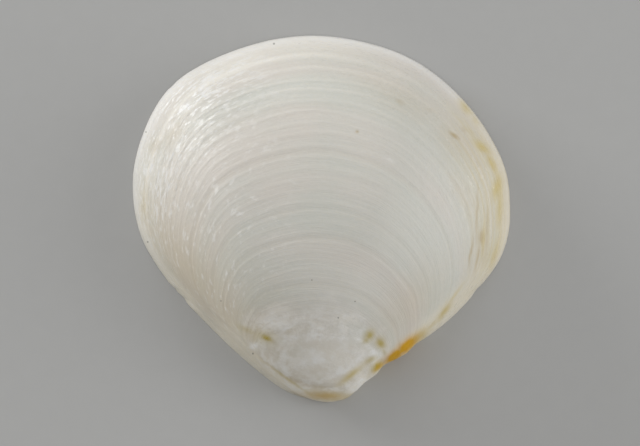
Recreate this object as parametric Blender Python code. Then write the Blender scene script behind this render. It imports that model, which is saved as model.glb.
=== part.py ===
"""The left valve of a small venus clam, lying on its margin with its outside up.

The valve's own frame, in metres: +X runs to the front end, +Y to the free lower margin,
and +Z out of the back of the valve. The margin lies on the plane z = 0, and the origin is
at the middle of the valve's box on that plane.

A clam adds shell only along its margin, and the margin turns and grows about an axis at
the beak. So every growth line is a smaller, tilted copy of the margin, and the whole valve
follows from the margin's outline and its rates of growth.
"""

import math

import bmesh
import bpy
from mathutils import Vector

# The valve's length from front to back, in metres. Every other length below is in
# millimetres on a valve as long as the outline was drawn, and grows with the valve.
SHELL_LENGTH = 0.024
DRAWN_LENGTH = 24.0
UNIT = SHELL_LENGTH / DRAWN_LENGTH

# The margin, anticlockwise from the beak: the lunule, the front end, the free edge, the
# back end, and the back of the hinge
MARGIN_OUTLINE = [
    (1.4, -11.44),
    (2.2, -10.9),
    (2.9, -10.2),
    (3.6, -9.4),
    (4.9, -8.4),
    (6.5, -7.6),
    (8.4, -6.1),
    (10.3, -4.0),
    (11.5, -2.1),
    (11.95, 0.4),
    (11.4, 3.8),
    (8.9, 7.6),
    (5.1, 10.4),
    (-0.2, 11.58),
    (-5.2, 10.75),
    (-9.6, 8.3),
    (-11.75, 3.9),
    (-11.65, -0.4),
    (-9.8, -3.85),
    (-7.15, -6.75),
    (-4.95, -8.85),
    (-2.6, -10.68),
    (-0.9, -11.36),
    (0.35, -11.51),
    (1.4, -11.44),
]
OUTSIDE_STEPS = 54

# The growth axis: a point on it, its slope in the margin's plane in degrees, and how far
# the margin has turned about it since the oldest shell that is left
AXIS_POINT = (0.6, -11.54)
AXIS_SLOPE = -2.0
OLDEST_TURN = 104.0

# Going back in age, how fast the margin shrinks along and away from the axis, per radian
# and per radian squared, and how far its lower edge leans back, per radian squared
ALONG_RATE = (0.8, 0.73)
AWAY_RATE = (0.5, 1.1)
LEAN = 2.6

# Growth ridges: their pitch by the margin and by the umbo, how far a crest flares out as
# a share of its distance from the axis, how far along its pitch the crest is, and where
# the ridges start and stop, in degrees
PITCH_AT_MARGIN = 0.8
PITCH_AT_UMBO = 0.5
CREST_FLARE = 0.0055
CREST_PLACE = 0.4
FIRST_RIDGE_TURN = 5.0
LAST_RIDGE_TURN = 46.0
UMBO_STEP = 6.0

# The hollow: the width of the rim round it, the width of solid hinge it leaves, where its
# own axis is from the growth axis, how much flatter than the outside it is, and its steps
RIM_WIDTH = 0.55
SOLID_HINGE = 1.6
HOLLOW_AXIS_SHIFT = 1.2
HOLLOW_FLATTENING = 0.93
HOLLOW_STEPS = 38
HOLLOW_TURN_STEP = 7.5
CUTTER_OVERRUN = 1.0

# The hinge plate: its lower edge, along and away from the axis, its two faces in Z, and
# the width of the rim that is left round the recess it lies in
PLATE_EDGE = [(-8.0, 5.6), (-5.4, 4.4), (-3.0, 3.45), (0.0, 3.05), (2.6, 3.4), (5.4, 4.7)]
PLATE_EDGE_STEPS = 12
PLATE_FACE = 0.38
PLATE_BACK = 1.9
PLATE_RIM = 1.0

# Teeth and the ligament's ledge, each a bar on the hinge plate: its direction from the
# beak in degrees, where it starts and ends, and its width at those two places
BARS = {
    "front_tooth": (66.0, 0.8, 2.75, 0.28, 0.42),
    "middle_tooth": (95.0, 0.8, 2.75, 0.3, 0.54),
    "back_tooth": (120.0, 0.8, 3.2, 0.26, 0.38),
    "ligament_ledge": (141.5, 2.3, 5.7, 0.26, 0.34),
}
BAR_TOP = 0.06
BAR_ROOT = 0.6
BAR_SLANT = 0.3

SHELL_COLOUR = (0.78, 0.75, 0.68, 1.0)
SHELL_ROUGHNESS = 0.38


def clear_scene():
    """Removes whatever the file opened with."""
    for thing in list(bpy.data.objects):
        bpy.data.objects.remove(thing)


def axis_directions():
    """The direction along the growth axis, and the one away from it to the free edge."""
    slope = math.radians(AXIS_SLOPE)
    along = Vector((math.cos(slope), math.sin(slope)))
    away = Vector((-math.sin(slope), math.cos(slope)))
    return along, away


def from_axis(u, v):
    """The point that lies u along the growth axis and v away from it."""
    along, away = axis_directions()
    return Vector(AXIS_POINT) + along * u + away * v


def to_axis(point):
    """How far a point lies along the growth axis and away from it."""
    along, away = axis_directions()
    offset = point - Vector(AXIS_POINT)
    return offset.dot(along), offset.dot(away)


def smooth_curve(points, steps):
    """Points at equal distances along a smooth open curve through the given ones."""
    fine_steps = 20
    fine = []
    for i in range(len(points) - 1):
        start, end = points[i], points[i + 1]
        before = points[i - 1] if i else start * 2 - end
        after = points[i + 2] if i + 2 < len(points) else end * 2 - start
        for j in range(fine_steps):
            t = j / fine_steps
            bend = (2 * before - 5 * start + 4 * end - after) * t * t
            twist = (3 * start - before - 3 * end + after) * t * t * t
            fine.append((2 * start + (end - before) * t + bend + twist) / 2)
    return even_steps(fine + [points[-1]], steps)


def even_steps(points, steps):
    """The same path as steps + 1 points at equal distances."""
    lengths = [(b - a).length for a, b in zip(points, points[1:])]
    step = sum(lengths) / steps
    spaced = [points[0]]
    walked = 0.0
    i = 0
    for k in range(1, steps):
        while walked + lengths[i] < step * k:
            walked += lengths[i]
            i += 1
        spaced.append(points[i].lerp(points[i + 1], (step * k - walked) / lengths[i]))
    return spaced + [points[-1]]


def margin_loop(steps):
    """The margin as a closed loop of 2D points, anticlockwise from the beak."""
    return smooth_curve([Vector(point) for point in MARGIN_OUTLINE], steps)[:-1]


def inset(loop, width):
    """The loop moved inwards, so that each of its edges moves by the width."""
    moved = []
    for i, here in enumerate(loop):
        into = (here - loop[i - 1]).normalized()
        out = (loop[(i + 1) % len(loop)] - here).normalized()
        inwards = Vector((-into.y - out.y, into.x + out.x))
        moved.append(here + inwards * (2 * width / inwards.length_squared))
    return moved


def shrink(turn, rates):
    """What is left of a length on the margin after going back in age by a turn."""
    return math.exp(-(rates[0] * turn + rates[1] * turn * turn))


def growth_ring(loop, turn, flare=0.0, axis_shift=0.0, flattening=1.0):
    """The margin as it was before it turned by that angle, in radians, as 3D points."""
    coordinates = [to_axis(point) for point in loop]
    reach = max(v for _, v in coordinates) - axis_shift
    wide = shrink(turn, ALONG_RATE)
    high = shrink(turn, AWAY_RATE)
    ring = []
    for u, v in coordinates:
        v -= axis_shift
        freedom = v / reach * (2 - v / reach)
        spread = 1 + flare * freedom
        flat_u = (u - LEAN * turn * turn * freedom) * wide * spread
        flat_v = v * high * spread * math.cos(turn) + axis_shift
        height = v * high * spread * math.sin(turn) * flattening
        ring.append(from_axis(flat_u, flat_v).to_3d() + Vector((0, 0, height)))
    return ring


def ridge_turns(loop):
    """The turns at which ridges start, closer together towards the umbo."""
    reach = max(to_axis(point)[1] for point in loop)
    turn = math.radians(FIRST_RIDGE_TURN)
    last = math.radians(LAST_RIDGE_TURN)
    turns = []
    while turn < last:
        turns.append(turn)
        pitch = PITCH_AT_MARGIN + (PITCH_AT_UMBO - PITCH_AT_MARGIN) * turn / last
        rate = AWAY_RATE[0] + 2 * AWAY_RATE[1] * turn
        length_per_radian = reach * shrink(turn, AWAY_RATE) * math.hypot(1, rate)
        turn += pitch / length_per_radian
    return turns + [turn]


def outside_rings():
    """Every ring of the outside: the smooth band, each ridge's foot and crest, the umbo."""
    loop = margin_loop(OUTSIDE_STEPS)
    turns = ridge_turns(loop)
    rings = [growth_ring(loop, 0), growth_ring(loop, turns[0] / 2)]
    for start, end in zip(turns, turns[1:]):
        crest = start + (end - start) * CREST_PLACE
        rings.append(growth_ring(loop, start))
        rings.append(growth_ring(loop, crest, CREST_FLARE))
    span = math.radians(OLDEST_TURN) - turns[-1]
    steps = round(span / math.radians(UMBO_STEP))
    return rings + [growth_ring(loop, turns[-1] + span * k / steps) for k in range(steps + 1)]


def hollow_rings():
    """The rings of the hollow, which stops short of the hinge by a straight edge."""
    loop = inset(margin_loop(HOLLOW_STEPS), RIM_WIDTH)
    coordinates = [to_axis(point) for point in loop]
    edge = [from_axis(u, max(v, SOLID_HINGE)) for u, v in coordinates]
    steps = round(OLDEST_TURN / HOLLOW_TURN_STEP)
    turns = [math.radians(OLDEST_TURN) * k / steps for k in range(steps + 1)]
    return [growth_ring(edge, turn, 0, HOLLOW_AXIS_SHIFT, HOLLOW_FLATTENING) for turn in turns]


def loft(name, rings):
    """A closed solid through rings of equally many points."""
    bm = bmesh.new()
    rows = [[bm.verts.new(point * UNIT) for point in ring] for ring in rings]
    for low, high in zip(rows, rows[1:]):
        for i in range(len(low)):
            bm.faces.new((low[i - 1], low[i], high[i], high[i - 1]))
    bm.faces.new(rows[0])
    bm.faces.new(rows[-1])
    return finished(name, bm)


def slab(name, outline, low, high):
    """A flat outline as a solid between two heights."""
    return loft(name, [[Vector((p.x, p.y, z)) for p in outline] for z in (low, high)])


def finished(name, bm):
    """The object that holds a closed bmesh, with its faces pointing out."""
    bmesh.ops.recalc_face_normals(bm, faces=bm.faces)
    mesh = bpy.data.meshes.new(name)
    bm.to_mesh(mesh)
    bm.free()
    return bpy.data.objects.new(name, mesh)


def hollow_cutter():
    """The hollow, drawn down past the margin's plane so that it cuts clean."""
    rings = hollow_rings()
    below = [point - Vector((0, 0, CUTTER_OVERRUN)) for point in rings[0]]
    return loft("hollow", [below] + rings)


def hinge_plate():
    """What the hollow leaves standing as the hinge plate."""
    lower_edge = smooth_curve([from_axis(u, v) for u, v in PLATE_EDGE], PLATE_EDGE_STEPS)
    front, back = PLATE_EDGE[-1][0], PLATE_EDGE[0][0]
    behind_hinge = [from_axis(front, -CUTTER_OVERRUN), from_axis(back, -CUTTER_OVERRUN)]
    return slab("hinge_plate", lower_edge + behind_hinge, PLATE_FACE, PLATE_BACK)


def hinge_recess():
    """The shallow recess that sinks the hinge plate's face below the rim."""
    loop = inset(margin_loop(OUTSIDE_STEPS), PLATE_RIM)
    widest = max(v for _, v in PLATE_EDGE)
    outline = [point for point in loop if to_axis(point)[1] < widest]
    return slab("hinge_recess", outline, -CUTTER_OVERRUN, PLATE_FACE)


def bar(name, direction, start, end, start_width, end_width):
    """A tapered bar that stands on the hinge plate and points away from the beak."""
    bm = bmesh.new()
    bmesh.ops.create_cube(bm, size=1.0)
    angle = math.radians(direction)
    for corner in bm.verts:
        far, top = corner.co.x > 0, corner.co.z < 0
        distance = end if far else start
        width = (end_width if far else start_width) * (1 - BAR_SLANT if top else 1 + BAR_SLANT)
        side = corner.co.y * width
        u = distance * math.cos(angle) - side * math.sin(angle)
        v = distance * math.sin(angle) + side * math.cos(angle)
        height = Vector((0, 0, BAR_TOP if top else BAR_ROOT))
        corner.co = (from_axis(u, v).to_3d() + height) * UNIT
    return finished(name, bm)


def combine(thing, operation, other):
    """Cuts the other solid from a thing, or adds it to the thing."""
    step = thing.modifiers.new(f"{operation.lower()} {other.name}", "BOOLEAN")
    step.operation = operation
    step.object = other
    step.solver = "EXACT"


def shell_material():
    """Chalky white shell with a soft polish."""
    material = bpy.data.materials.new("shell")
    material.use_nodes = True
    surface = material.node_tree.nodes["Principled BSDF"]
    surface.inputs["Base Color"].default_value = SHELL_COLOUR
    surface.inputs["Roughness"].default_value = SHELL_ROUGHNESS
    surface.inputs["Metallic"].default_value = 0.0
    return material


def new_collection(name):
    """A collection in the scene."""
    collection = bpy.data.collections.new(name)
    bpy.context.scene.collection.children.link(collection)
    return collection


def main():
    clear_scene()
    valve = loft("left_valve", outside_rings())
    valve.data.materials.append(shell_material())
    valve.data.shade_smooth()
    new_collection("venus_clam_shell").objects.link(valve)

    hollow = hollow_cutter()
    plate = hinge_plate()
    recess = hinge_recess()
    bars = [bar(name, *sizes) for name, sizes in BARS.items()]
    combine(hollow, "DIFFERENCE", plate)
    combine(valve, "DIFFERENCE", hollow)
    combine(valve, "DIFFERENCE", recess)
    for one in bars:
        combine(valve, "UNION", one)

    helpers = new_collection("helpers")
    for helper in [hollow, plate, recess, *bars]:
        helpers.objects.link(helper)
        helper.hide_render = True
        helper.display_type = "WIRE"


main()
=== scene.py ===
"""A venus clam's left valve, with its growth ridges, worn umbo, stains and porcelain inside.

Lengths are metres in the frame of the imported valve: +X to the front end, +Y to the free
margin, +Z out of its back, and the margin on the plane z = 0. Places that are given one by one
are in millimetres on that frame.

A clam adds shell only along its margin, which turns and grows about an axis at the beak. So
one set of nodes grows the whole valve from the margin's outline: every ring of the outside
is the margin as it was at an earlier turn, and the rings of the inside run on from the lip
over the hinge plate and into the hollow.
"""

import math

import bpy
from mathutils import Euler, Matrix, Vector


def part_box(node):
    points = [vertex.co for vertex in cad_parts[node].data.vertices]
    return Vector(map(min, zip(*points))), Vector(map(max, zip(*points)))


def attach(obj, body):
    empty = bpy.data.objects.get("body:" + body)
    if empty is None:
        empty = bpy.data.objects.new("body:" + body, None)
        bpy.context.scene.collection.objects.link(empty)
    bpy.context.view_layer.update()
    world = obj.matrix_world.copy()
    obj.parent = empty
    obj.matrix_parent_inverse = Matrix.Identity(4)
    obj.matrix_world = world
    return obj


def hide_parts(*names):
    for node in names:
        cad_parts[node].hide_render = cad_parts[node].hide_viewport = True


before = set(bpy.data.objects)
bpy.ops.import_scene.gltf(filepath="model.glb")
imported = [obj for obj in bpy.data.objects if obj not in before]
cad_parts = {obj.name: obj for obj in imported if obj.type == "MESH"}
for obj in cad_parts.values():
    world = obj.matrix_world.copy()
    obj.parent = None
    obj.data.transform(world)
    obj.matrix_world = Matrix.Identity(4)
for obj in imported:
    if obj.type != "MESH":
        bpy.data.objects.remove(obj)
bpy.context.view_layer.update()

bl_info = {
    "name": "Venus Clam Valve",
    "version": (1, 0, 0),
    "blender": (4, 5, 0),
    "location": "3D View > Sidebar > Clam",
    "description": "Grows and finishes one valve of a venus clam",
    "category": "Object",
}

CAD_LOW, CAD_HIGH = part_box("left_valve")

# A millimetre of the drawn outline, whose valve is this long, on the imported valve
DRAWN_LENGTH = 23.888
MM = (CAD_HIGH.x - CAD_LOW.x) / DRAWN_LENGTH

# How far the lights stand from the valve
LIGHT_DISTANCE = 0.27

# The margin, anticlockwise from the beak, in millimetres
MARGIN_OUTLINE = [
    (1.4, -11.44),
    (2.2, -10.9),
    (2.9, -10.2),
    (3.6, -9.4),
    (4.9, -8.4),
    (6.5, -7.6),
    (8.4, -6.1),
    (10.3, -4.0),
    (11.5, -2.1),
    (11.95, 0.4),
    (11.4, 3.8),
    (8.9, 7.6),
    (5.1, 10.4),
    (-0.2, 11.58),
    (-5.2, 10.75),
    (-9.6, 8.3),
    (-11.75, 3.9),
    (-11.65, -0.4),
    (-9.8, -3.85),
    (-7.15, -6.75),
    (-4.95, -8.85),
    (-2.6, -10.68),
    (-0.9, -11.36),
    (0.35, -11.51),
]

# The outer edge of the band behind the hinge, seen from above, in millimetres
BACK_EDGE = [
    (-9.6, -4.4),
    (-7.7, -6.3),
    (-5.8, -8.0),
    (-4.5, -9.3),
    (-3.2, -10.3),
    (-2.0, -10.95),
    (-0.7, -11.35),
    (0.9, -11.6),
]

# The lunule, a hollow in front of the beak, and the swelling beyond it: the middle and half
# width of each in millimetres, and its share of the lunule's depth
LUNULE_FORMS = [(3.9, -9.25, 0.55, 1.0), (2.8, -10.1, 0.7, 0.6), (5.25, -8.3, 0.6, -0.8)]

# Where growth stopped for a while: the turn in degrees, and the depth and half width of
# the groove it left, in millimetres and degrees
GROWTH_CHECKS = [
    (4.3, 0.014, 0.35),
    (13.9, 0.012, 0.35),
    (20.6, 0.02, 0.4),
    (28.4, 0.011, 0.4),
    (32.4, 0.015, 0.45),
    (39.8, 0.02, 0.6),
]

# Chips out of the margin: how far round it, half width, and depth in millimetres
CHIPS = [(0.815, 0.004, 0.09), (0.826, 0.005, 0.12), (0.153, 0.006, 0.08), (0.62, 0.003, 0.05)]

# Teeth and the ligament's ledge on the hinge plate: the direction from the beak in degrees,
# where each starts and ends, and its half width at those two places, in millimetres
BARS = [
    (66.0, 0.8, 2.75, 0.15, 0.25),
    (95.0, 0.8, 2.75, 0.17, 0.32),
    (120.0, 0.8, 3.2, 0.14, 0.23),
    (141.5, 2.3, 5.7, 0.14, 0.2),
]

# Sockets between the teeth, given like the teeth
SOCKETS = [(80.0, 0.9, 2.6, 0.1, 0.18), (107.0, 0.9, 2.7, 0.1, 0.19), (130.5, 1.5, 3.6, 0.08, 0.14)]

# The muscle scars at the front and at the back of the hollow: the middle of each and its two
# half sizes in millimetres, and its tilt in degrees
MUSCLE_SCARS = [(8.1, 1.6, 1.15, 1.9, 14), (-8.2, 1.9, 1.3, 2.0, -16)]


def length_size(name, millimetres, description):
    """A length that a user can change."""
    return bpy.props.FloatProperty(
        name=name, description=description, default=millimetres * MM, subtype="DISTANCE", precision=6
    )


def angle_size(name, degrees, description):
    """An angle that a user can change."""
    return bpy.props.FloatProperty(
        name=name, description=description, default=math.radians(degrees), subtype="ANGLE"
    )


def plain_number(name, number, description):
    """A number without a unit that a user can change."""
    return bpy.props.FloatProperty(name=name, description=description, default=number)


def count_of(name, number, description):
    """A count that a user can change."""
    return bpy.props.IntProperty(name=name, description=description, default=number, min=1)


def colour_of(name, red, green, blue, description):
    """A colour that a user can change."""
    return bpy.props.FloatVectorProperty(
        name=name,
        description=description,
        default=(red, green, blue),
        size=3,
        min=0.0,
        max=1.0,
        subtype="COLOR",
    )


class ClamGrowth(bpy.types.PropertyGroup):
    """How the margin turned and grew about its axis"""

    axis_x: length_size("Axis X", 0.6, "Where the growth axis passes the beak, along X")
    axis_y: length_size("Axis Y", -11.54, "Where the growth axis passes the beak, along Y")
    axis_slope: angle_size("Axis Slope", -2.0, "Slope of the growth axis in the margin's plane")
    reach: length_size("Reach", 23.13, "Distance from the growth axis to the free margin")
    along_rate: plain_number("Along Rate", 0.8, "Shrinking along the axis per radian of age")
    along_bend: plain_number("Along Bend", 0.73, "The same per radian squared")
    away_rate: plain_number("Away Rate", 0.5, "Shrinking away from the axis per radian of age")
    away_bend: plain_number("Away Bend", 1.1, "The same per radian squared")
    lean: length_size("Lean", 2.6, "How far old margins lean to the back, per radian squared")
    lip_turn: angle_size("Lip Turn", 0.16, "The turn of the youngest ring, just above the lip")
    oldest_turn: angle_size("Oldest Turn", 104.0, "The turn of the tip of the umbo")


class ClamRidges(bpy.types.PropertyGroup):
    """The ridges, grooves and wear of the outside"""

    steps_around: count_of("Steps Around", 256, "Points in each ring")
    band_rings: count_of("Band Rings", 12, "Rings in the smooth band at the margin")
    ridge_count: count_of("Ridge Count", 28, "Main growth ridges")
    rings_per_ridge: count_of("Rings per Ridge", 8, "Rings from one main ridge to the next")
    umbo_rings: count_of("Umbo Rings", 44, "Rings from the last ridge to the tip of the umbo")
    first_turn: angle_size("First Turn", 5.1, "The turn at which the ridges start")
    spacing: angle_size("Spacing", 1.8, "The turn from the first ridge to the next")
    tightening: angle_size("Tightening", 0.0108, "How much closer each next ridge is")
    early_gap: angle_size("Early Gap", 1.35, "Extra room that the last ridges took")
    unevenness: plain_number("Unevenness", 0.5, "How far ridges stray from even spacing")
    wander: plain_number("Wander", 0.32, "How far a ridge wanders along its length")
    ridge_height: length_size("Ridge Height", 0.04, "Height of the main ridges near the margin")
    old_ridge_height: length_size("Old Ridge Height", 0.006, "Height of the ridges near the umbo")
    fine_share: plain_number("Fine Share", 0.42, "Height of the ridges between the main ones")
    swell_height: length_size("Swell Height", 0.035, "Height of the broad growth swells")
    worn_turn: angle_size("Worn Turn", 46.6, "The turn at which the worn cap starts")
    worn_depth: length_size("Worn Depth", 0.018, "How much shell the cap has lost")
    fold_width: length_size("Fold Width", 0.82, "Width of the band behind the hinge")
    fold_depth: length_size("Fold Depth", 0.055, "Depth of the groove beside that band")
    lunule_depth: length_size("Lunule Depth", 0.2, "Depth of the hollow in front of the beak")
    seed: plain_number("Seed", 3.7, "Picks another uneven set of ridges")


class ClamInside(bpy.types.PropertyGroup):
    """The lip, the hollow and the hinge plate"""

    rim_rings: count_of("Rim Rings", 8, "Rings over the lip")
    face_rings: count_of("Face Rings", 30, "Rings over the face of the hinge plate")
    edge_rings: count_of("Edge Rings", 6, "Rings up the edge of the hinge plate")
    back_rings: count_of("Back Rings", 8, "Rings under the hinge plate")
    hollow_rings: count_of("Hollow Rings", 44, "Rings from there to the top of the hollow")
    rim_width: length_size("Rim Width", 0.55, "Width of the lip")
    pole_x: length_size("Pole X", -0.1, "Place of the top of the hollow, along X")
    pole_y: length_size("Pole Y", 0.0, "Place of the top of the hollow, along Y")
    hollow_height: length_size("Hollow Height", 5.62, "Height of the hollow")
    plate_face: length_size("Plate Face", 0.38, "Height of the hinge plate's face")
    plate_back: length_size("Plate Back", 1.7, "Height of the back of the hinge plate")
    plate_reach: length_size("Plate Reach", 3.05, "Distance from the axis to the plate's edge")
    plate_bend: plain_number("Plate Bend", 0.043, "How far that edge bends away, per millimetre")
    tooth_height: length_size("Tooth Height", 0.31, "Height of the teeth on the hinge plate")
    socket_depth: length_size("Socket Depth", 0.2, "Depth of the sockets between the teeth")
    scar_depth: length_size("Scar Depth", 0.05, "Depth of the two muscle scars")


class ClamColours(bpy.types.PropertyGroup):
    """The colours of the shell"""

    # On the crests the chalk is partly painted light on the ridges
    chalk: colour_of("Chalk", 0.82, 0.79, 0.72, "Crests and flakes")
    glaze: colour_of("Glaze", 0.59, 0.605, 0.55, "The greyish see-through shell between them")
    warm_glaze: colour_of("Warm Glaze", 0.64, 0.595, 0.54, "The same where it is warmer")
    pale: colour_of("Pale", 0.82, 0.76, 0.62, "The edge, and the band behind the hinge")
    # Cream also paints the darker lower back and the dusky places, partly as painted shade
    cream: colour_of("Cream", 0.60, 0.52, 0.37, "The lower back")
    straw: colour_of("Straw", 0.62, 0.50, 0.20, "Yellow growth bands at the front end")
    tan: colour_of("Tan", 0.46, 0.34, 0.15, "Tan stains")
    olive: colour_of("Olive", 0.48, 0.365, 0.04, "Olive spots by the umbo")
    orange: colour_of("Orange", 0.62, 0.33, 0.0, "The stain in front of the beak")
    # Pearl also paints the glints at the back end and the glow of the thin edge
    pearl: colour_of("Pearl", 0.9, 0.89, 0.86, "Bright flecks, and the thin free margin")
    pin: colour_of("Pin", 0.10, 0.10, 0.07, "Pin dots")
    porcelain: colour_of("Porcelain", 0.84, 0.81, 0.74, "The inside")
    scar: colour_of("Scar", 0.74, 0.68, 0.58, "Muscle scars and the pallial line")


class ClamStage(bpy.types.PropertyGroup):
    """The floor, the lights and the camera"""

    floor_colour: colour_of("Floor", 0.48, 0.48, 0.47, "The plain pale floor")
    ambient: plain_number("Ambient", 0.45, "Strength of the even light from all round")
    key_power: plain_number("Key Power", 0.4, "Power of the light from the upper left")
    fill_power: plain_number("Fill Power", 0.31, "Power of the light from the right")
    top_power: plain_number("Top Power", 0.08, "Power of the light from beyond the free margin")
    lens: plain_number("Lens", 300.0, "Focal length of the camera in millimetres")


class Amount:
    """A number worked out at every point by a node tree, written like ordinary arithmetic."""

    def __init__(self, tree, socket):
        self.tree = tree
        self.socket = socket

    def __add__(self, other):
        return worked_out(self.tree, "ADD", self, other)

    def __radd__(self, other):
        return worked_out(self.tree, "ADD", other, self)

    def __sub__(self, other):
        return worked_out(self.tree, "SUBTRACT", self, other)

    def __rsub__(self, other):
        return worked_out(self.tree, "SUBTRACT", other, self)

    def __mul__(self, other):
        return worked_out(self.tree, "MULTIPLY", self, other)

    def __rmul__(self, other):
        return worked_out(self.tree, "MULTIPLY", other, self)

    def __truediv__(self, other):
        return worked_out(self.tree, "DIVIDE", self, other)

    def __rtruediv__(self, other):
        return worked_out(self.tree, "DIVIDE", other, self)

    def __pow__(self, other):
        return worked_out(self.tree, "POWER", self, other)


def new_node(tree, kind, **settings):
    """A node with its settings made."""
    node = tree.nodes.new(kind)
    for name, value in settings.items():
        setattr(node, name, value)
    return node


def feed(tree, socket, value):
    """Joins a socket to what feeds it, or gives it a plain value."""
    if isinstance(value, Amount):
        value = value.socket
    if isinstance(value, bpy.types.NodeSocket):
        tree.links.new(value, socket)
    else:
        socket.default_value = value


def worked_out(tree, operation, *values):
    """The result of one piece of arithmetic."""
    node = new_node(tree, "ShaderNodeMath", operation=operation)
    for socket, value in zip(node.inputs, values):
        feed(tree, socket, value)
    return Amount(tree, node.outputs[0])


def sine(angle):
    return worked_out(angle.tree, "SINE", angle)


def cosine(angle):
    return worked_out(angle.tree, "COSINE", angle)


def exponential(value):
    return worked_out(value.tree, "EXPONENT", value)


def root(value):
    return worked_out(value.tree, "SQRT", value)


def size_of(value):
    return worked_out(value.tree, "ABSOLUTE", value)


def most(value, other):
    return worked_out(value.tree, "MAXIMUM", value, other)


def least(value, other):
    return worked_out(value.tree, "MINIMUM", value, other)


def sum_of(amounts):
    """The sum of a list of amounts."""
    total, *others = amounts
    for amount in others:
        total = total + amount
    return total


def highest_of(amounts):
    """The largest of a list of amounts."""
    top, *others = amounts
    for amount in others:
        top = most(top, amount)
    return top


def held(value, low=0.0, high=1.0):
    """The value, kept between two limits."""
    return least(most(value, low), high)


def blend(start, end, share):
    """What lies a share of the way from the start to the end."""
    return start + (end - start) * share


def soft_step(value, low, high):
    """0 at the low value, 1 at the high one, and a smooth rise between them."""
    node = new_node(value.tree, "ShaderNodeMapRange", interpolation_type="SMOOTHSTEP")
    feed(value.tree, node.inputs["Value"], value)
    feed(value.tree, node.inputs["From Min"], low)
    feed(value.tree, node.inputs["From Max"], high)
    return Amount(value.tree, node.outputs["Result"])


def bell(value, centre, half_width):
    """1 at the centre, and down to a third at the half width."""
    share = (value - centre) / half_width
    return exponential(share * share * -1.0)


def from_oval_middle(x, y, middle, half_sizes, direction=0.0):
    """How far out in an oval a point is, squared: 0 in its middle and 1 on its outline.

    The middle and the half sizes are in millimetres, and the direction of the first of them
    in degrees.
    """
    cos_turn = math.cos(math.radians(direction))
    sin_turn = math.sin(math.radians(direction))
    east = x - middle[0] * MM
    north = y - middle[1] * MM
    ahead = (east * cos_turn + north * sin_turn) / (half_sizes[0] * MM)
    aside = (north * cos_turn - east * sin_turn) / (half_sizes[1] * MM)
    return ahead * ahead + aside * aside


def vector_of(tree, x, y, z):
    """A vector from its three parts."""
    node = new_node(tree, "ShaderNodeCombineXYZ")
    for socket, value in zip(node.inputs, (x, y, z)):
        feed(tree, socket, value)
    return node.outputs[0]


def parts_of(tree, vector):
    """The three parts of a vector."""
    node = new_node(tree, "ShaderNodeSeparateXYZ")
    tree.links.new(vector, node.inputs[0])
    return [Amount(tree, socket) for socket in node.outputs]


def uneven(tree, x, y, z=0.0, scale=1.0, detail=2.0, roughness=0.5):
    """Smooth noise about zero, from about -1 to 1, at a place of the caller's own."""
    node = new_node(tree, "ShaderNodeTexNoise")
    tree.links.new(vector_of(tree, x, y, z), node.inputs["Vector"])
    node.inputs["Scale"].default_value = scale
    node.inputs["Detail"].default_value = detail
    node.inputs["Roughness"].default_value = roughness
    return Amount(tree, node.outputs[0]) * 2.0 - 1.0


def along_rings(tree, across, loop, laps, detail=2.0):
    """Noise from -1 to 1 drawn out along the growth rings, with no seam where a ring closes.

    across is the place from ring to ring, and loop the place on a unit circle; laps is how
    many bumps there are in one round.
    """
    east, north = loop
    radius = laps / math.tau
    return uneven(tree, across, east * radius, north * radius, detail=detail)


def socket_kind(size):
    """The kind of input that a node tree needs for a size of the add-on."""
    return "NodeSocketInt" if size.type == "INT" else "NodeSocketFloat"


def sizes_in(group):
    """The sizes that a group holds."""
    return [size for size in group.bl_rna.properties if size.type in ("INT", "FLOAT")]


def add_size_inputs(tree, groups):
    """Gives a tree one named input for each size in the groups, with its default."""
    for group in groups:
        for size in sizes_in(group):
            socket = tree.interface.new_socket(size.name, in_out="INPUT", socket_type=socket_kind(size))
            socket.description = size.description
            if size.subtype in ("DISTANCE", "ANGLE"):
                socket.subtype = size.subtype
            socket.default_value = size.default


class Sizes:
    """What the inputs of a tree feed, by the names that the add-on gives the sizes."""

    def __init__(self, tree, source, groups):
        for group in groups:
            for size in sizes_in(group):
                setattr(self, size.identifier, Amount(tree, source.outputs[size.name]))


def curve_through(name, points, closed):
    """A curve object through given points in millimetres."""
    curve = bpy.data.curves.new(name, "CURVE")
    curve.dimensions = "3D"
    spline = curve.splines.new("POLY")
    spline.points.add(len(points) - 1)
    for place, (x, y) in zip(spline.points, points):
        place.co = (x * MM, y * MM, 0.0, 1.0)
    spline.use_cyclic_u = closed
    thing = bpy.data.objects.new(name, curve)
    bpy.context.scene.collection.objects.link(thing)
    return thing


def smooth_curve_in(tree, source, fineness):
    """A curve object's own curve, made smooth inside a tree."""
    info = new_node(tree, "GeometryNodeObjectInfo")
    tree.links.new(source, info.inputs["Object"])
    kind = new_node(tree, "GeometryNodeCurveSplineType", spline_type="CATMULL_ROM")
    tree.links.new(info.outputs["Geometry"], kind.inputs[0])
    fine = new_node(tree, "GeometryNodeSetSplineResolution")
    tree.links.new(kind.outputs[0], fine.inputs["Geometry"])
    fine.inputs["Resolution"].default_value = fineness
    return fine.outputs[0]


class Rings:
    """Where each point of the valve is in its rings."""

    def __init__(self, tree, size):
        index = Amount(tree, new_node(tree, "GeometryNodeInputIndex").outputs[0])
        ring = worked_out(tree, "FLOOR", (index + 0.5) / size.steps_around)
        step = index - ring * size.steps_around
        self.ridge_rings = size.ridge_count * size.rings_per_ridge
        self.outside = size.band_rings + self.ridge_rings + size.umbo_rings
        self.inside = size.rim_rings + size.face_rings + size.edge_rings
        self.inside = self.inside + size.back_rings + size.hollow_rings
        self.total = self.outside + self.inside
        self.past_margin = self.outside - ring
        self.past_lip = ring - self.outside
        self.is_outside = soft_step(self.past_lip, 0.5, 0.4)
        first_ring = soft_step(ring, 0.5, 0.4)
        last_ring = soft_step(ring, self.total - 0.5, self.total - 0.4)
        self.is_pole = most(first_ring, last_ring)
        self.share_around = step / size.steps_around


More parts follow.
